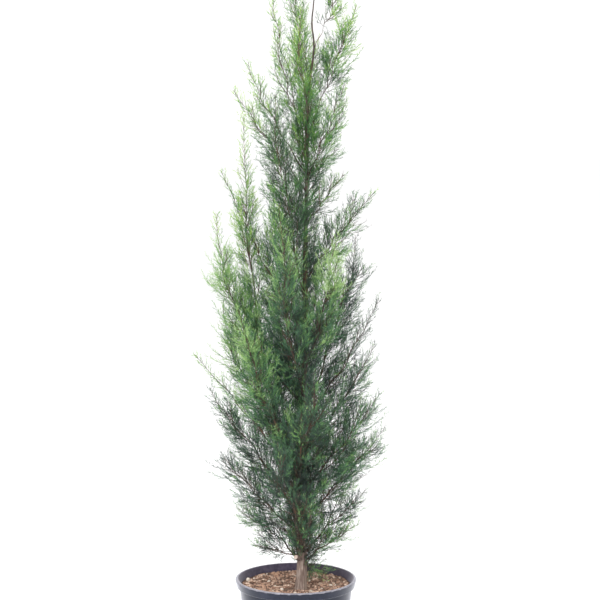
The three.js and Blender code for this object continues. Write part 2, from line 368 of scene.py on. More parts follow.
def pattern_group(name, stretch, detail, roughness, coarse):
    """A shared pattern in object space: a fine Pattern and broad Patches, both from 0 to 1."""
    group = bpy.data.node_groups.new(name, "ShaderNodeTree")
    size = group.interface.new_socket(name="Scale", in_out="INPUT", socket_type="NodeSocketFloat")
    size.default_value = 100
    for label in ("Pattern", "Patches"):
        group.interface.new_socket(name=label, in_out="OUTPUT", socket_type="NodeSocketFloat")
    entry = group.nodes.new("NodeGroupInput")
    result = group.nodes.new("NodeGroupOutput")
    place = group.nodes.new("ShaderNodeTexCoord")
    stretched = group.nodes.new("ShaderNodeMapping")
    stretched.inputs["Scale"].default_value = (1, 1, stretch)
    group.links.new(place.outputs["Object"], stretched.inputs["Vector"])
    for label, share, fineness in (("Pattern", 1.0, detail), ("Patches", coarse, 2.0)):
        scaled = group.nodes.new("ShaderNodeMath")
        scaled.operation = "MULTIPLY"
        scaled.inputs[1].default_value = share
        grain = group.nodes.new("ShaderNodeTexNoise")
        grain.inputs["Detail"].default_value = fineness
        grain.inputs["Roughness"].default_value = roughness
        group.links.new(entry.outputs["Scale"], scaled.inputs[0])
        group.links.new(scaled.outputs["Value"], grain.inputs["Scale"])
        group.links.new(stretched.outputs["Vector"], grain.inputs["Vector"])
        group.links.new(grain.outputs["Fac"], result.inputs[label])
    return group


def patterned_material(name, group, scale, colours, patch_colour, roughness, relief):
    """A material whose colour, roughness and relief follow a shared pattern."""
    material = plain_material(name, colours[1], roughness[0])
    nodes = material.node_tree.nodes
    links = material.node_tree.links
    shader = nodes["Principled BSDF"]
    pattern = nodes.new("ShaderNodeGroup")
    pattern.node_tree = group
    pattern.inputs["Scale"].default_value = scale
    ramp = nodes.new("ShaderNodeValToRGB")
    ramp.color_ramp.elements[0].position = 0.36
    ramp.color_ramp.elements[1].position = 0.66
    ramp.color_ramp.elements.new(0.50)
    for element, colour in zip(ramp.color_ramp.elements, colours):
        element.color = (*colour, 1)
    patch = nodes.new("ShaderNodeMapRange")
    patch.inputs["From Min"].default_value = 0.52
    patch.inputs["From Max"].default_value = 0.68
    blend = nodes.new("ShaderNodeMix")
    blend.data_type = "RGBA"
    blend.inputs[MIX_B].default_value = (*patch_colour, 1)
    rough = nodes.new("ShaderNodeMapRange")
    rough.inputs["To Min"].default_value = roughness[0]
    rough.inputs["To Max"].default_value = roughness[1]
    bump = nodes.new("ShaderNodeBump")
    bump.inputs["Strength"].default_value = 0.8
    bump.inputs["Distance"].default_value = relief
    links.new(pattern.outputs["Pattern"], ramp.inputs["Fac"])
    links.new(pattern.outputs["Patches"], patch.inputs["Value"])
    links.new(patch.outputs["Result"], blend.inputs["Factor"])
    links.new(ramp.outputs["Color"], blend.inputs[MIX_A])
    links.new(blend.outputs[MIX_RESULT], shader.inputs["Base Color"])
    links.new(pattern.outputs["Pattern"], rough.inputs["Value"])
    links.new(rough.outputs["Result"], shader.inputs["Roughness"])
    links.new(pattern.outputs["Pattern"], bump.inputs["Height"])
    links.new(bump.outputs["Normal"], shader.inputs["Normal"])
    return material


# A Mix node's colour sockets, which share their names with its other ones.
MIX_A, MIX_B, MIX_RESULT = 6, 7, 2

FIBRES = pattern_group("bark_fibres", 0.11, 5.0, 0.62, 0.16)
GRAIN = pattern_group("fine_grain", 1.0, 6.0, 0.66, 0.12)
TINT_MATERIALS = [plain_material(f"foliage_{name}", low) for name, low, _ in TINTS]
TINT_MATERIALS += [plain_material(f"foliage_high_{name}", high) for name, _, high in TINTS]
TRUNK_BARK = patterned_material(
    "trunk_bark",
    FIBRES,
    230,
    [(0.085, 0.058, 0.048), (0.215, 0.158, 0.132), (0.400, 0.330, 0.285)],
    (0.300, 0.235, 0.190),
    (0.80, 0.95),
    0.0008,
)
BOUGH_BARK = patterned_material(
    "bough_bark",
    FIBRES,
    320,
    [(0.030, 0.023, 0.022), (0.076, 0.056, 0.049), (0.160, 0.118, 0.096)],
    (0.140, 0.078, 0.050),
    (0.75, 0.92),
    0.0004,
)
TWIG_BARK = patterned_material(
    "twig_bark",
    GRAIN,
    60,
    [(0.058, 0.040, 0.033), (0.100, 0.070, 0.050), (0.155, 0.112, 0.074)],
    (0.130, 0.070, 0.052),
    (0.70, 0.85),
    0.0001,
)
CUT_WOOD = patterned_material(
    "cut_wood",
    GRAIN,
    240,
    [(0.440, 0.320, 0.250), (0.560, 0.440, 0.370), (0.680, 0.570, 0.500)],
    (0.460, 0.330, 0.260),
    (0.75, 0.90),
    0.0002,
)
POT_PLASTIC = patterned_material(
    "pot_plastic",
    GRAIN,
    260,
    [(0.005, 0.008, 0.019), (0.008, 0.012, 0.027), (0.013, 0.018, 0.038)],
    (0.016, 0.020, 0.040),
    (0.24, 0.36),
    0.00008,
)
# The inner wall's plastic, lighter than the outside: painted light where the inner wall faces the lamps.
POT_INSIDE_LIT = patterned_material(
    "pot_inside",
    GRAIN,
    90,
    [(0.046, 0.038, 0.066), (0.068, 0.056, 0.092), (0.096, 0.080, 0.122)],
    (0.084, 0.064, 0.084),
    (0.40, 0.60),
    0.0001,
)
# A pale band along the pot's lip: a painted highlight.
POT_LIP_HIGHLIGHT = patterned_material(
    "pot_lip_highlight",
    GRAIN,
    120,
    [(0.150, 0.145, 0.172), (0.220, 0.213, 0.246), (0.310, 0.298, 0.335)],
    (0.240, 0.228, 0.248),
    (0.35, 0.55),
    0.0001,
)
for plastic in (POT_PLASTIC, POT_INSIDE_LIT, POT_LIP_HIGHLIGHT):
    shader = plastic.node_tree.nodes["Principled BSDF"]
    shader.inputs["Sheen Weight"].default_value = 1.0
    shader.inputs["Sheen Roughness"].default_value = 0.35
    shader.inputs["Sheen Tint"].default_value = (0.90, 0.91, 1.0, 1)
SOIL_GRAIN = patterned_material(
    "soil_grain",
    GRAIN,
    170,
    [(0.050, 0.029, 0.021), (0.150, 0.090, 0.062), (0.320, 0.220, 0.165)],
    (0.085, 0.052, 0.040),
    (0.88, 0.98),
    0.0012,
)
BARK_CHIP = patterned_material(
    "bark_chip",
    GRAIN,
    75,
    [(0.105, 0.052, 0.036), (0.395, 0.240, 0.170), (0.820, 0.650, 0.520)],
    (0.480, 0.295, 0.205),
    (0.82, 0.95),
    0.0006,
)
STONE = patterned_material(
    "stone",
    GRAIN,
    140,
    [(0.420, 0.340, 0.270), (0.580, 0.500, 0.420), (0.780, 0.720, 0.640)],
    (0.480, 0.350, 0.260),
    (0.75, 0.90),
    0.0003,
)


# ---- The trunk and the plumes' stems ----


def trunk_axis(height):
    """The trunk's axis at heights above the soil in millimetres, as points in metres."""
    line = np.array(TRUNK_LINE, dtype=float)
    slope = np.gradient(line[:, 1:], line[:, 0], axis=0)
    height = np.atleast_1d(np.asarray(height, dtype=float))
    i = np.clip(np.searchsorted(line[:, 0], height, side="right") - 1, 0, len(line) - 2)
    span = (line[i + 1, 0] - line[i, 0])[:, None]
    t = (height - line[i, 0])[:, None] / span
    place = (
        (2 * t**3 - 3 * t**2 + 1) * line[i, 1:]
        + (t**3 - 2 * t**2 + t) * span * slope[i]
        + (3 * t**2 - 2 * t**3) * line[i + 1, 1:]
        + (t**3 - t**2) * span * slope[i + 1]
    )
    return np.column_stack([place * MM, SOIL_TOP + height * MM])


def trunk_radius(height):
    left = np.maximum(0, 1 - height / TREE_HEIGHT)
    flare = TRUNK["flare"] * np.exp(-np.maximum(0, height) / TRUNK["flare_height"])
    return (TRUNK["tip"] + (TRUNK["base"] - TRUNK["tip"]) * left ** TRUNK["taper"] + flare) * MM


def plume_stem(leaves, tip, reach, side, bow):
    """The points of a plume's stem, from the trunk's axis to its tip."""
    t = np.linspace(0, 1, STEM_POINTS)
    out = 1 - (1 - t) ** bow if bow > 1 else t ** (1 / bow)
    angle = math.radians(side)
    outward = np.array([math.cos(angle), math.sin(angle), 0])
    sideways = np.array([-math.sin(angle), math.cos(angle), 0])
    sway, kinks = [
        far * np.sin(np.pi * t) * np.sin(math.tau * (t * waves + rng.random())) for far, waves in STEM_SWAYS
    ]
    out = reach * MM * out + kinks
    stem = trunk_axis(leaves) + outward * out[:, None] + sideways * sway[:, None]
    stem[:, 2] = SOIL_TOP + (leaves + (tip - leaves) * t) * MM
    return stem


def stem_radius(leaves, tip):
    """How thick a plume's stem is where it leaves the trunk. Those that fork off low down are stouter."""
    slender = 0.62 * min(2.2 + (tip - leaves) / 150, 0.62 * trunk_radius(leaves) / MM)
    return (slender + 1.5 * math.exp(-leaves / 120)) * MM


def flame_profile(share):
    """How wide a plume is at a share of its clothed length: full low down, drawn out at its top."""
    return np.sin(np.pi * np.clip(share, 0, 1) ** 0.72) ** 0.8


# ---- Joined meshes of many small things ----


def slivers(start, end, radius):
    """A three-sided spike for each row, from a base at start to a point at end."""
    axis = unit(end - start)
    first = across(axis)
    second = np.cross(axis, first)
    points = np.empty((len(start), 4, 3))
    for k in range(3):
        a = 2 * math.pi * k / 3
        points[:, k] = start + radius * (math.cos(a) * first + math.sin(a) * second)
    points[:, 3] = end
    faces = np.array([(0, 2, 1), (0, 1, 3), (1, 2, 3), (2, 0, 3)])
    triangles = faces[None] + 4 * np.arange(len(start))[:, None, None]
    return points.reshape(-1, 3), triangles.reshape(-1, 3), len(faces)


def blades(start, end, half_width):
    """A flat pointed blade of two triangles for each row, turned at random and widest near its base."""
    axis = unit(end - start)
    sideways = turn(across(axis), axis, rng.uniform(0, math.pi, len(axis)))
    middle = start + 0.36 * (end - start)
    points = np.stack([start, middle - half_width * sideways, end, middle + half_width * sideways], axis=1)
    faces = np.array([(0, 1, 2), (0, 2, 3)])
    triangles = faces[None] + 4 * np.arange(len(start))[:, None, None]
    return points.reshape(-1, 3), triangles.reshape(-1, 3), len(faces)


def canes(lines, radii, sides=3, pointed=False):
    """A tapering cane along each row of points, closed at its ends. A pointed one ends in one vertex."""
    count, rings = lines.shape[:2]
    tangent = unit(np.gradient(lines, axis=1))
    first = across(tangent[:, :1])
    first = unit(first - np.sum(first * tangent, axis=-1, keepdims=True) * tangent)
    second = np.cross(tangent, first)
    angle = 2 * math.pi * np.arange(sides) / sides
    ring = (
        np.cos(angle)[None, None, :, None] * first[:, :, None]
        + np.sin(angle)[None, None, :, None] * second[:, :, None]
    )
    points = (lines[:, :, None] + radii[:, :, None, None] * ring).reshape(count, -1, 3)
    if pointed:
        points = points[:, : (rings - 1) * sides + 1]
        points[:, -1] = lines[:, -1]
        rings -= 1
    faces = []
    for r in range(rings - 1):
        for k in range(sides):
            a, b = r * sides + k, r * sides + (k + 1) % sides
            faces += [(a, b, a + sides), (b, b + sides, a + sides)]
    last = (rings - 1) * sides
    faces += [(0, k + 1, k) for k in range(1, sides - 1)]
    if pointed:
        faces += [(last + k, last + (k + 1) % sides, last + sides) for k in range(sides)]
    else:
        faces += [(last, last + k, last + k + 1) for k in range(1, sides - 1)]
    faces = np.array(faces)
    triangles = faces[None] + points.shape[1] * np.arange(count)[:, None, None]
    return points.reshape(-1, 3), triangles.reshape(-1, 3), len(faces)


def joined(parts):
    """Several (points, triangles, slots) as one."""
    points = np.concatenate([p for p, _, _ in parts])
    offsets = np.cumsum([0] + [len(p) for p, _, _ in parts[:-1]])
    triangles = np.concatenate([t + o for (_, t, _), o in zip(parts, offsets)])
    slots = np.concatenate([s for _, _, s in parts])
    return points, triangles, slots


# ---- The branching rule ----


def bent(twigs, u):
    """Points at shares u of twigs that set out along first and end along last."""
    u = u[..., None]
    lean = twigs["first"] * (u - u**2 / 2) + twigs["last"] * u**2 / 2
    return twigs["start"] + twigs["length"][..., None] * lean


def ends_of(twigs):
    return bent(twigs, np.ones(len(twigs["length"])))


def bent_lines(twigs, shares):
    """The points of every twig at the same shares."""
    spread = {k: v[:, None] for k, v in twigs.items() if k in ("start", "first", "last", "length")}
    u = np.repeat(np.asarray(shares)[None], len(twigs["length"]), axis=0)
    spread["length"] = np.repeat(spread["length"], len(shares), axis=1)
    return bent(spread, u)


def chosen(twigs, which):
    """Some of the twigs, by index or by mask."""
    return {k: v[which] for k, v in twigs.items()}


def from_line(line, count, low, high, angle_low, angle_high):
    """Starts and headings of twigs spread round a line, from share low to high of its length."""
    steps = np.linalg.norm(np.diff(line, axis=0), axis=1)
    along = np.concatenate([[0], np.cumsum(steps)])
    share = low + (high - low) * (np.arange(count) + rng.uniform(0.1, 0.9, count)) / count
    place = share * along[-1]
    slope = np.gradient(line, along, axis=0)
    start = np.column_stack([np.interp(place, along, line[:, k]) for k in range(3)])
    heading = unit(np.column_stack([np.interp(place, along, slope[:, k]) for k in range(3)]))
    around = np.arange(count) * GOLDEN_ANGLE + rng.uniform(0, 6.3) + rng.normal(0, 0.35, count)
    outward = turn(across(heading), heading, around)
    angle = np.radians(angle_low + (angle_high - angle_low) * share + rng.normal(0, 4, count))
    first = unit(np.cos(angle)[:, None] * heading + np.sin(angle)[:, None] * outward)
    return start, heading, outward, first, share, along[-1]


def reach_within(share, total, girth, lean):
    """How long a twig may be for its tip to end near the plume's outline."""
    length = 0.5 * girth * np.ones_like(share)
    for _ in range(3):
        length = flame_profile(share + 0.8 * length / total) * girth / lean
    return length


def pulled(heading, outward, pull, stray):
    """Where twigs end up pointing: pulled on along their stem, up and outward, and led a little astray."""
    onward, upward, away = pull
    return unit(onward * heading + upward * UP + away * outward + rng.normal(0, stray, heading.shape))


def grow_side_stems(stem, girth, bare):
    """The side stems of one plume, as lines of points."""
    low, high = bare + SIDE_STEMS["from"], SIDE_STEMS["to"]
    total = np.sum(np.linalg.norm(np.diff(stem, axis=0), axis=1))
    count = max(3, int(total * (high - low) / SIDE_STEMS["spacing"]))
    start, heading, outward, first, share, total = from_line(stem, count, low, high, *SIDE_STEMS["angle"])
    clothed = (share - bare) / (1 - bare)
    length = reach_within(clothed, total * (1 - bare), 0.9 * girth * MM, SIDE_STEMS["lean"])
    shortest = SIDE_STEMS["shortest"]
    length = np.clip(length, shortest, np.maximum((1 - share) * total, shortest))
    length *= rng.uniform(*LENGTHS_VARY, count)
    last = pulled(heading, outward, SIDE_STEMS["pull"], SIDE_STEMS["stray"])
    stems = {"start": start, "first": first, "last": last, "length": length}
    lines = bent_lines(stems, np.linspace(0, 1, SIDE_STEMS["points"]))
    return lines, clothed, length


def grow_shoots(line, girth, bare, plume_share, total_share):
    """The shoots along one stem. plume_share and total_share place the stem on its plume."""
    total = np.sum(np.linalg.norm(np.diff(line, axis=0), axis=1))
    count = max(4, int(total * (0.99 - bare) / SHOOTS["spacing"]))
    reaching = (bare, SHOOTS["to"], *SHOOTS["angle"])
    start, heading, outward, first, share, total = from_line(line, count, *reaching)
    clothed = (share - bare) / (1 - bare)
    length = reach_within(clothed, total * (1 - bare), girth, SHOOTS["lean"])
    inner = np.where(clothed < 0.35, 0.42 * girth / SHOOTS["lean"], 0)
    length = np.maximum(np.maximum(length, inner), SHOOTS["shortest"])
    length *= rng.uniform(*LENGTHS_VARY, count)
    wisp = (rng.random(count) < WISPS["share"]) & (clothed > 0.2)
    length *= np.where(wisp, WISPS["longer"], 1.0)
    onward, upward, away = SHOOTS["pull"]
    away = np.where(wisp, SHOOTS["wisp_pull"], away)[:, None]
    last = pulled(heading, outward, (onward, upward, away), SHOOTS["stray"])
    return {
        "fullness": np.where(wisp, WISPS["thinner"], 1.0),
        "start": start,
        "first": first,
        "last": last,
        "length": length,
        "fan": unit(np.cross(first, outward) + rng.normal(0, 0.5, (count, 3))),
        "share": plume_share + total_share * clothed,
        "patch": np.full(count, rng.normal(0, PATCHES)),
    }


def grow_along(parents, rule):
    """Twigs along both sides of their parents, lying near each parent's fan."""
    low = rule["from"]
    share, near, drop = rule["reach"]
    counts = np.maximum(3, (parents["length"] * (0.98 - low) / rule["spacing"]).astype(int))
    owner = np.repeat(np.arange(len(counts)), counts)
    index = np.concatenate([np.arange(n) for n in counts])
    u = low + (0.985 - low) * (index + rng.uniform(0.15, 0.85, len(index))) / counts[owner]
    mother = chosen(parents, owner)
    start = bent(mother, u)
    heading = unit(mother["first"] * (1 - u[:, None]) + mother["last"] * u[:, None])
    square = unit(np.cross(heading, mother["fan"]))
    hand = np.where(index % 2 == 0, 1.0, -1.0)
    sideways = turn(square * hand[:, None], heading, rng.normal(0, rule["roll"], len(index)))
    angle = np.radians(rule["angle"] * rng.uniform(0.4, 1.6, len(index)))
    first = unit(np.cos(angle)[:, None] * heading + np.sin(angle)[:, None] * sideways)
    length = np.clip(share * mother["length"] * (near - drop * u), *rule["length"])
    length *= mother["fullness"]
    stray = rng.normal(0, rule["stray"], (len(index), 3))
    return {
        "fullness": np.ones(len(index)),
        "start": start,
        "first": first,
        "last": unit(0.6 * heading + 0.5 * first + 0.2 * UP + stray),
        "length": length * rng.uniform(0.75, 1.15, len(index)),
        "fan": unit(np.cross(first, sideways) + rng.normal(0, 0.25, (len(index), 3))),
        "u": u,
        "owner": owner,
    }


def crown_depth(points):
    """How far out in the crown points lie: 0 at the trunk, 1 at the crown's outside."""
    height = (points[:, 2] - SOIL_TOP) / MM
    axis = trunk_axis(np.clip(height, 0, TREE_HEIGHT))
    radius = np.interp(height, CROWN_HEIGHTS, CROWN_RADII) * MM
    return np.linalg.norm(points[:, :2] - axis[:, :2], axis=1) / radius


def kept_inside(shoots):
    """Shortens the shoots that would end outside the part's box."""
    start = shoots["start"]
    step = ends_of(shoots) - start
    room = np.where(step > 0, np.array(cad_box[1]) - start, start - np.array(cad_box[0]))
    share = (room + SPARE) / np.maximum(np.abs(step), 1e-6)
    shoots["length"] = shoots["length"] * np.clip(share.min(axis=1), 0.25, 1)


def without_leaves(shoots):
    """Which shoots are bare: many near the foot, few higher up, hardly any at the crown's outside."""
    height = (shoots["start"][:, 2] - SOIL_TOP) / MM
    chance = BARE_TWIGS["foot"] * np.exp(-height / BARE_TWIGS["fade"]) + BARE_TWIGS["inside"]
    return rng.random(len(height)) < chance * (1.2 - crown_depth(shoots["start"]))


def tint_of_shoots(shoots, fresh_and_lit):
    """Which tint each shoot wears: darker inside the crown, which is painted shade, lighter outside and
    higher up.
    """
    tip = shoots["start"] + shoots["length"][:, None] * shoots["last"] * 0.8
    depth = np.clip(crown_depth(tip), 0, 1.15)
    height = np.clip((tip[:, 2] - SOIL_TOP) / (TREE_HEIGHT * MM), 0, 1)
    # Painted shade: the deeper inside the crown, the darker the tint.
    lightness = TINT_LIGHTNESS["least"] + TINT_LIGHTNESS["outside"] * depth ** TINT_LIGHTNESS["outside_power"]
    # The plume's own lightness, from young growth and from painted highlight and shade on whole plumes.
    lightness += TINT_LIGHTNESS["fresh_and_lit"] * fresh_and_lit * shoots["share"]
    lightness += TINT_LIGHTNESS["high"] * height
    lightness += shoots["patch"]
    return lightness + rng.normal(0, TINT_LIGHTNESS["mixed"], len(lightness))


def tint_along(owners_tint, twigs, rule):
    """Which tint each small twig wears: its owner's, but younger towards the owner's tip and mixed."""
    change, same_at, mixed = rule["lighter_by"]
    along = change * (twigs["u"] - same_at)
    return owners_tint[twigs["owner"]] + along + rng.normal(0, mixed, len(along))


def stepped(tint, high):
    """The number of each leaf's material: those for high growth come after the others."""
    return np.clip(np.round(tint), 0, len(TINTS) - 1).astype(int) + len(TINTS) * high


def standing_high(shoots):
    """Which shoots stand high up, as 1 or 0: the border between the two is uneven."""
    height = (shoots["start"][:, 2] - SOIL_TOP) / MM
    return (height + HIGH["blur"] * shoots["patch"] > HIGH["height"]).astype(int)


def canes_of(twigs, cane, pointed=False):
    """Canes along twigs: the longer the twig, the thicker its cane."""
    least, slenderness = cane["radius"]
    radii = (least + slenderness * twigs["length"])[:, None] * np.array([cane["thickness"]])
    return canes(bent_lines(twigs, cane["at"]), radii, pointed=pointed)


def tinted(shapes, tint, high):
    """Shapes with the material of each one's tint on all its triangles."""
    points, triangles, faces_each = shapes
    return points, triangles, np.repeat(stepped(tint, high), faces_each)


def untinted(shapes):
    """Shapes that all wear their piece's first material."""
    points, triangles, _ = shapes
    return points, triangles, np.zeros(len(triangles), dtype=int)


def grow_plume(stem, girth, bare, fresh_and_lit, extra=()):
    """The leaves, the twigs and the side stems of one plume.

    extra holds more lines with shoots, how far the shoots stand off, and how many tint steps lighter their
    leaves are; below 0 that is painted shade beside the trunk.
    """
    side_lines, side_share, side_length = grow_side_stems(stem, girth, bare)
    batches = [grow_shoots(stem, girth * MM, bare, 0, 1)]
    total = np.sum(np.linalg.norm(np.diff(stem, axis=0), axis=1))
    for line, share, length in zip(side_lines, side_share, side_length):
        side_girth = np.clip(0.55 * girth * MM, 0.014, 0.40 * length)
        batches.append(grow_shoots(line, side_girth, 0.12, share, min(0.9 * length / total, 1 - share)))
    for line, around, lighter_by in extra:
        more = grow_shoots(line, around, 0, 0, 0.2)
        more["patch"] += lighter_by
        batches.append(more)
    everything = {k: np.concatenate([b[k] for b in batches]) for k in batches[0]}
    kept_inside(everything)
    bare_ones = without_leaves(everything)
    shoots = chosen(everything, ~bare_ones)
    shoot_tint = tint_of_shoots(shoots, fresh_and_lit)
    high = standing_high(shoots)

    sprays = grow_along(shoots, SPRAYS)
    spray_tint = tint_along(shoot_tint, sprays, SPRAYS)
    high_sprays = high[sprays["owner"]]
    twiglets = grow_along(sprays, TWIGLETS)
    twiglet_tint = tint_along(spray_tint, twiglets, TWIGLETS)
    high_twiglets = high_sprays[twiglets["owner"]]

    finest = blades(twiglets["start"], ends_of(twiglets), TWIGLET_HALF_WIDTH)
    spikes = slivers(sprays["start"], ends_of(sprays), SPRAY_RADIUS)
    leafy = canes_of(shoots, LEAFY_CANE, pointed=True)
    leaves = joined(
        [
            tinted(finest, twiglet_tint, high_twiglets),
            tinted(spikes, spray_tint, high_sprays),
            tinted(leafy, shoot_tint, high),
        ]
    )
    return leaves, twigs_of(everything, chosen(everything, bare_ones)), side_lines


def twigs_of(shoots, bare_ones):
    """The woody foot of every shoot, and the whole of the bare ones."""
    feet = canes_of(shoots, WOODY_FOOT)
    tops = canes_of(bare_ones, BARE_CANE, pointed=True)
    offshoots = grow_along(bare_ones, BARE_TWIGLETS)
    small = slivers(offshoots["start"], ends_of(offshoots), BARE_TWIGLET_RADIUS)
    return joined([untinted(part) for part in (feet, tops, small)])


def build_crown():
    """Grows every plume as a piece of leaves that stands for its solid, and all the twigs as one piece."""
    stems = []
    side_stems = []
    twig_parts = []
    for number, (name, leaves_at, tip, reach, side, girth, bow, bare, fresh_and_lit) in enumerate(PLUMES):
        reseed(number)
        stem = plume_stem(leaves_at, tip, reach, side, bow)
        stems.append((stem, stem_radius(leaves_at, tip)))
        heights = np.linspace(leaves_at + INNER["from"], leaves_at + INNER["to"], 9)
        heights = np.clip(heights, INNER["lowest"], INNER["highest"])
        extra = []
        if heights[-1] > heights[0]:
            # Shifts the tint of the leaves beside the trunk by height: a shift below 0 is painted shade.
            lighter_by = np.interp(leaves_at, *zip(*INNER_LIGHT_AND_SHADE))
            extra.append((trunk_axis(heights), INNER["girth"], lighter_by))
        if name == "right_foot":
            lines = [plume_stem(*row) for row in LOW_SPRIGS["rows"]]
            extra += [(line, LOW_SPRIGS["girth"], LOW_SPRIGS["lighter_by"]) for line in lines]
        if name == "front_skirt":
            line = trunk_axis(np.linspace(HUGGING["from"], HUGGING["to"], 9))
            extra += [(line, HUGGING["girth"], HUGGING["lighter_by"])] * HUGGING["lines"]
        leaves, twigs, sides = grow_plume(stem, girth, bare, fresh_and_lit, extra)
        add_leaves(name, leaves)
        twig_parts.append(twigs)
        side_stems += list(sides)
    stem = trunk_axis(np.linspace(LEADER["from"], TREE_HEIGHT, STEM_POINTS))
    leaves, twigs, sides = grow_plume(stem, LEADER["girth"], 0, LEADER["fresh_and_lit"])
    add_leaves("crown_tip", leaves)
    twig_parts.append(twigs)
    side_stems = np.array(side_stems + list(sides))
    radii = np.repeat(SIDE_STEM_RADII[None], len(side_stems), axis=0)
    twig_parts.append(untinted(canes(side_stems, radii, sides=5, pointed=True)))
    piece = add_object(mesh_of("twigs", *joined(twig_parts)), TWIG_BARK)
    settle(piece, "bark", *[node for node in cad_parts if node.startswith("foliage_")])
    return stems


def add_leaves(name, leaves):
    piece = add_object(mesh_of(f"leaves_{name}", *leaves), *TINT_MATERIALS)
    settle(piece, "foliage", f"foliage_{name}")


# ---- The trunk, the boughs and the cut stub ----


def tube_mesh(name, lines, sides):
    """Tubes along lines of points with a radius at each point, as one mesh."""
    curve = bpy.data.curves.new(name, "CURVE")
    curve.dimensions = "3D"
    curve.bevel_depth = 1.0
    curve.bevel_resolution = sides // 2 - 2
    curve.use_fill_caps = True
    for points, radii in lines:
        spline = curve.splines.new("POLY")
        spline.points.add(len(points) - 1)
        spline.points.foreach_set("co", np.column_stack([points, np.ones(len(points))]).ravel())
        spline.points.foreach_set("radius", radii)
    shape = bpy.data.objects.new(name, curve)
    bpy.context.scene.collection.objects.link(shape)
    settled = shape.evaluated_get(bpy.context.evaluated_depsgraph_get())
    mesh = bpy.data.meshes.new_from_object(settled)
    mesh.name = name
    bpy.data.objects.remove(shape)
    bpy.data.curves.remove(curve)
    bm = bmesh.new()
    bm.from_mesh(mesh)
    bmesh.ops.remove_doubles(bm, verts=bm.verts, dist=0.00001)
    bmesh.ops.recalc_face_normals(bm, faces=bm.faces)
    bm.to_mesh(mesh)
    bm.free()
    return mesh


def raise_fibres(mesh, across_scale, depth):
    """Gives a tube the upright furrows of fibrous bark, about as deep as depth."""
    stretch = Vector((across_scale, across_scale, across_scale * 0.09))
    moved = []
    for vertex in mesh.vertices:
        place = vertex.co * stretch
        strand = 1 - 2 * abs(noise.noise(place))
        broad = noise.noise(place * 0.35 + Vector((7, 3, 1)))
        moved.append(vertex.co + vertex.normal * depth * (0.6 * strand + 0.7 * broad - 0.3))
    mesh.vertices.foreach_set("co", np.array(moved).ravel())
    mesh.polygons.foreach_set("use_smooth", [True] * len(mesh.polygons))
    mesh.update()


def refined(line, count):
    """A line of points resampled evenly."""
    share = np.linspace(0, 1, len(line))
    target = np.linspace(0, 1, count)
    return np.column_stack([np.interp(target, share, line[:, k]) for k in range(3)])


def build_trunk():
    """The trunk's bark, whose rings are closer low down. It starts just under the soil."""
    heights = np.concatenate([np.linspace(*rings) for rings in TRUNK_RINGS])
    line = trunk_axis(np.maximum(heights, 0))
    line[:, 2] = SOIL_TOP + heights * MM
    mesh = tube_mesh("trunk_bark", [(line, trunk_radius(heights))], TRUNK["sides"])
    raise_fibres(mesh, *TRUNK_FURROWS)
    for face in mesh.polygons:
        height = (face.center.z - SOIL_TOP) / MM
        uneven = DARKER_BARK["uneven"] * noise.noise(face.center * 30)
        face.material_index = 1 if height + uneven > DARKER_BARK["from"] else 0
    settle(add_object(mesh, TRUNK_BARK, BOUGH_BARK), "bark", "trunk")


def build_boughs(stems):
    """The bark of every plume's stem, with a collar where it leaves the trunk, as one piece."""
    lines = []
    for stem, base in stems:
        points = refined(stem, BOUGHS["points"])
        run = np.concatenate([[0], np.cumsum(np.linalg.norm(np.diff(points, axis=0), axis=1))])
        beyond = np.maximum(run - BOUGHS["collar_length"], 0)
        collar = 1 + BOUGHS["collar"] * np.exp(-beyond / BOUGHS["collar_length"])
        taper = np.linspace(1, 0, len(points)) ** BOUGHS["taper"]
        lines.append((points, ((base - BOUGHS["tip"]) * taper + BOUGHS["tip"]) * collar))
    mesh = tube_mesh("bough_bark", lines, BOUGHS["sides"])
    raise_fibres(mesh, *BOUGH_FURROWS)
    nodes = [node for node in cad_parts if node.startswith("bough_")]
    settle(add_object(mesh, BOUGH_BARK), "bark", *nodes)


def build_stub():
    """The stub of a limb cut off beside the fork, with its pale end grain."""
    out = Vector(STUB["out"]).normalized()
    start = Vector(trunk_axis(STUB["height"])[0])
    bm = bmesh.new()
    radius = STUB["radius"] * MM
    length = STUB["length"] * MM
    foot = radius * STUB["foot"]
    bmesh.ops.create_cone(bm, cap_ends=True, segments=28, radius1=foot, radius2=radius, depth=length)
    end = max(bm.faces, key=lambda face: face.calc_center_median().z)
    end.material_index = 1
    rim = list(end.edges)
    bmesh.ops.bevel(bm, geom=rim, offset=0.0006, segments=2, profile=0.5, affect="EDGES", material=-1)
    bmesh.ops.translate(bm, verts=bm.verts, vec=(0, 0, length / 2))
    bmesh.ops.rotate(bm, verts=bm.verts, matrix=out.to_track_quat("Z", "Y").to_matrix())
    bmesh.ops.translate(bm, verts=bm.verts, vec=start)
    settle(add_object(mesh_from(bm, "cut_stub"), TRUNK_BARK, CUT_WOOD), "bark", "trunk")


# ---- The pot and the soil ----


def pot_inside(z):
    """The pot's inner radius at a height, in millimetres."""
    shoulder = POT["height"] - POT["collar"]
    body_top = POT["rim"] - POT["overhang"]
    return POT["foot"] + (body_top - POT["foot"]) * z / shoulder - POT["wall"]


def turned(profile, steps):
    """A profile in millimetres, from the axis to the axis, spun into a closed body."""
    bm = bmesh.new()
    corners = [bm.verts.new((radius * MM, 0, z * MM)) for radius, z in profile]
    edges = [bm.edges.new(pair) for pair in zip(corners, corners[1:])]
    whole = {"cent": (0, 0, 0), "axis": (0, 0, 1), "angle": math.tau}
    bmesh.ops.spin(bm, geom=corners + edges, steps=steps, use_merge=True, **whole)
    bmesh.ops.remove_doubles(bm, verts=bm.verts, dist=0.00002)
    bmesh.ops.recalc_face_normals(bm, faces=bm.faces)
    return bm


def mesh_from(bm, name):
    mesh = bpy.data.meshes.new(name)
    bm.to_mesh(mesh)
    bm.free()
    mesh.polygons.foreach_set("use_smooth", [True] * len(mesh.polygons))
    return mesh


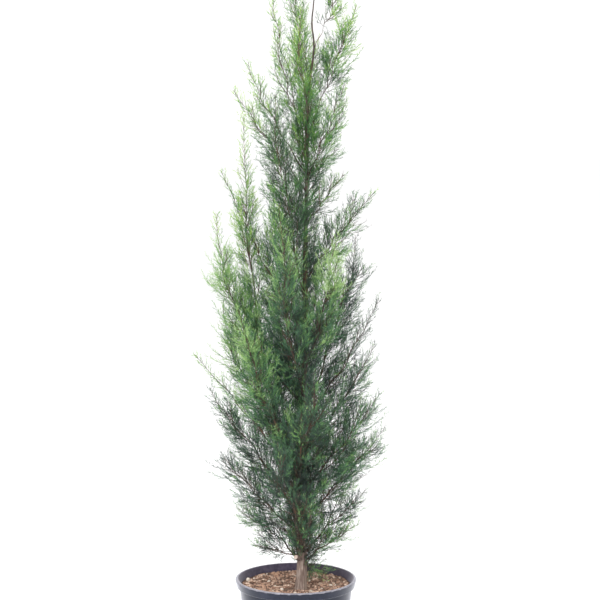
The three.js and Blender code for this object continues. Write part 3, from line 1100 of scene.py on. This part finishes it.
def build_pot():
    """The pot's shell in one turned piece: plain plastic outside, painted light inside, a painted highlight
    on its lip.
    """
    height, rim, floor = POT["height"], POT["rim"], POT["floor"]
    shoulder = height - POT["collar"]
    corner = POT["foot_corner"]
    rim_in, rim_down = POT["rim_corner"]
    inner_in, inner_up = POT["inner_corner"]
    profile = [
        (0, 0),
        (POT["foot"] - corner, 0),
        (POT["foot"], corner),
        (rim - POT["overhang"], shoulder),
        (rim - POT["collar_slope"], shoulder),
        (rim, height - rim_down),
        (rim - rim_in, height),
        (rim - POT["lip"], height),
        (pot_inside(shoulder), shoulder),
        (pot_inside(floor + inner_up), floor + inner_up),
        (pot_inside(floor) - inner_in, floor),
        (0, floor),
    ]
    bm = turned(profile, POT["steps"])
    for face in bm.faces:
        middle = face.calc_center_median()
        # The lip's faces get the pale plastic: a painted highlight.
        if middle.z > (height - POT["lip_depth"]) * MM:
            face.material_index = 2
        # Inner faces get the lighter plastic: painted light.
        elif middle.x * face.normal.x + middle.y * face.normal.y < 0:
            face.material_index = 1
    piece = add_object(mesh_from(bm, "pot_shell"), POT_PLASTIC, POT_INSIDE_LIT, POT_LIP_HIGHLIGHT)
    rounding = piece.modifiers.new("rounding", "BEVEL")
    rounding.limit_method = "ANGLE"
    rounding.angle_limit = math.radians(20)
    rounding.width = POT["rounding"] * MM
    rounding.segments = 3
    rounding.harden_normals = True
    settle(piece, "pot", "pot")


def soil_surface(x, y):
    """How high the uneven soil stands at a place, in metres."""
    edge = pot_inside(SOIL["top"] + SOIL["edge_rise"]) - SOIL["edge_width"]
    share = (math.hypot(x, y) / MM - SOIL["hollow"]) / (edge - SOIL["hollow"])
    rise = SOIL["edge_rise"] * min(max(share, 0), 1)
    uneven = noise.noise(Vector((x * 42, y * 42, 0))) + 0.6 * noise.noise(Vector((x * 110, y * 110, 5)))
    return (SOIL["top"] + rise + SOIL["lump"] * uneven) * MM


def build_soil():
    """The soil as a turned body whose top is uneven."""
    low = POT["floor"] + SOIL["gap"]
    edge = SOIL["top"] + SOIL["edge_rise"]
    rings = np.linspace(pot_inside(edge) - SOIL["gap"], 0, SOIL_RINGS)
    profile = [(0, low), (pot_inside(low) - 4, low), (pot_inside(low + 3) - SOIL["gap"], low + 3)]
    profile += [(radius, edge) for radius in rings]
    bm = turned(profile, SOIL_STEPS)
    for vertex in bm.verts:
        if vertex.co.z > (edge - 1) * MM:
            vertex.co.z = soil_surface(vertex.co.x, vertex.co.y)
    settle(add_object(mesh_from(bm, "soil_bed"), SOIL_GRAIN), "soil", "soil")


def template(bm):
    """A small closed shape's points and triangles as arrays."""
    bmesh.ops.triangulate(bm, faces=bm.faces)
    points = np.array([vertex.co for vertex in bm.verts])
    bm.verts.index_update()
    triangles = np.array([[vertex.index for vertex in face.verts] for face in bm.faces])
    bm.free()
    return points, triangles


def scattered(shape, places, sizes, tilt, uneven):
    """Copies of a small shape, each with its own size, turn and unevenness, as points and triangles."""
    points, triangles = shape
    count = len(places)
    spin = rng.uniform(0, math.tau, count)
    lean = rng.normal(0, tilt, (count, 2))
    copies = points[None] * (1 + rng.uniform(-uneven, uneven, (count, len(points), 3))) * sizes[:, None]
    for axis, angle in zip(np.eye(3), (lean[:, 0], lean[:, 1], spin)):
        copies = turn(copies, axis, np.repeat(angle[:, None], len(points), axis=1))
    copies += places[:, None]
    faces = triangles[None] + len(points) * np.arange(count)[:, None, None]
    return copies.reshape(-1, 3), faces.reshape(-1, 3)


def places_on_soil(count, lift):
    """Places scattered over the soil clear of the trunk and the wall. The lift is in millimetres."""
    reach = (pot_inside(SOIL["top"]) - CLEAR["wall"]) * MM
    trunk = trunk_axis(0)[0]
    places = []
    while len(places) < count:
        x, y = rng.uniform(-reach, reach, 2)
        if math.hypot(x, y) < reach and math.hypot(x - trunk[0], y - trunk[1]) > CLEAR["trunk"] * MM:
            places.append((x, y, soil_surface(x, y) + lift * MM))
    return np.array(places)


def build_chips():
    """The coarse bark mix on top of the soil."""
    bm = bmesh.new()
    bmesh.ops.create_cone(bm, cap_ends=True, segments=6, radius1=0.5, radius2=0.4, depth=1)
    count = CHIPS["count"]
    sizes = np.column_stack([rng.uniform(*CHIPS[k], count) for k in ("length", "width", "depth")]) * MM
    shortest = CHIPS["length"][0] * MM
    sizes[:, 0] = shortest + (sizes[:, 0] - shortest) * rng.random(count)
    places = places_on_soil(count, CHIPS["lift"])
    points, triangles = scattered(template(bm), places, sizes, *CHIPS_LIE)
    mesh = mesh_of("bark_chips", points, triangles, np.zeros(len(triangles)))
    settle(add_object(mesh, BARK_CHIP), "soil", "soil")


def build_stones():
    """Pale bits of stone in the mix, and a few larger lumps."""
    bm = bmesh.new()
    bmesh.ops.create_icosphere(bm, subdivisions=2, radius=1)
    places = places_on_soil(STONES["count"], STONES["lift"])
    sizes = rng.uniform(*STONES["size"], (STONES["count"], 3)) * MM
    lumps = [(x * MM, y * MM, soil_surface(x * MM, y * MM) + 0.45 * size * MM) for x, y, size in LUMPS]
    large = np.array([(size, 0.85 * size, 0.75 * size) for _, _, size in LUMPS]) * MM
    places = np.concatenate([places, lumps])
    sizes = np.concatenate([sizes, large])
    points, triangles = scattered(template(bm), places, sizes, *STONES_LIE)
    mesh = mesh_of("stones", points, triangles, np.zeros(len(triangles)))
    settle(add_object(mesh, STONE), "soil", "soil")


# ---- The stage ----


def build_stage():
    """A pale floor in a white studio with two broad lamps."""
    bpy.ops.mesh.primitive_plane_add(size=60, location=(0, 0, 0))
    floor = bpy.context.object
    floor.name = "floor"
    floor.data.materials.append(plain_material("floor", (0.92, 0.92, 0.92), 0.9, 0.0))
    world = bpy.data.worlds.new("studio")
    bpy.context.scene.world = world
    world.use_nodes = True
    background = world.node_tree.nodes["Background"]
    background.inputs["Color"].default_value = (1, 1, 1, 1)
    background.inputs["Strength"].default_value = WORLD_STRENGTH
    for lamp in LAMPS:
        add_light(*lamp)
    bpy.context.scene.view_settings.view_transform = "Standard"


def add_light(name, place, size, power):
    data = bpy.data.lights.new(name, "AREA")
    data.size = size
    data.energy = power
    lamp = add_object(data)
    lamp.location = place
    aim = Vector(LAMPS_AIM) - Vector(place)
    lamp.rotation_mode = "QUATERNION"
    lamp.rotation_quaternion = aim.to_track_quat("-Z", "Y")


def build_camera():
    data = bpy.data.cameras.new("camera")
    data.lens = CAMERA["lens"]
    data.sensor_width = CAMERA["sensor"]
    camera = add_object(data)
    camera.location = CAMERA["place"]
    camera.rotation_euler = (math.radians(90 - CAMERA["downward"]), 0, 0)
    bpy.context.scene.camera = camera


build_camera()
build_stage()
build_pot()
build_soil()
build_chips()
build_stones()
build_trunk()
build_boughs(build_crown())
build_stub()
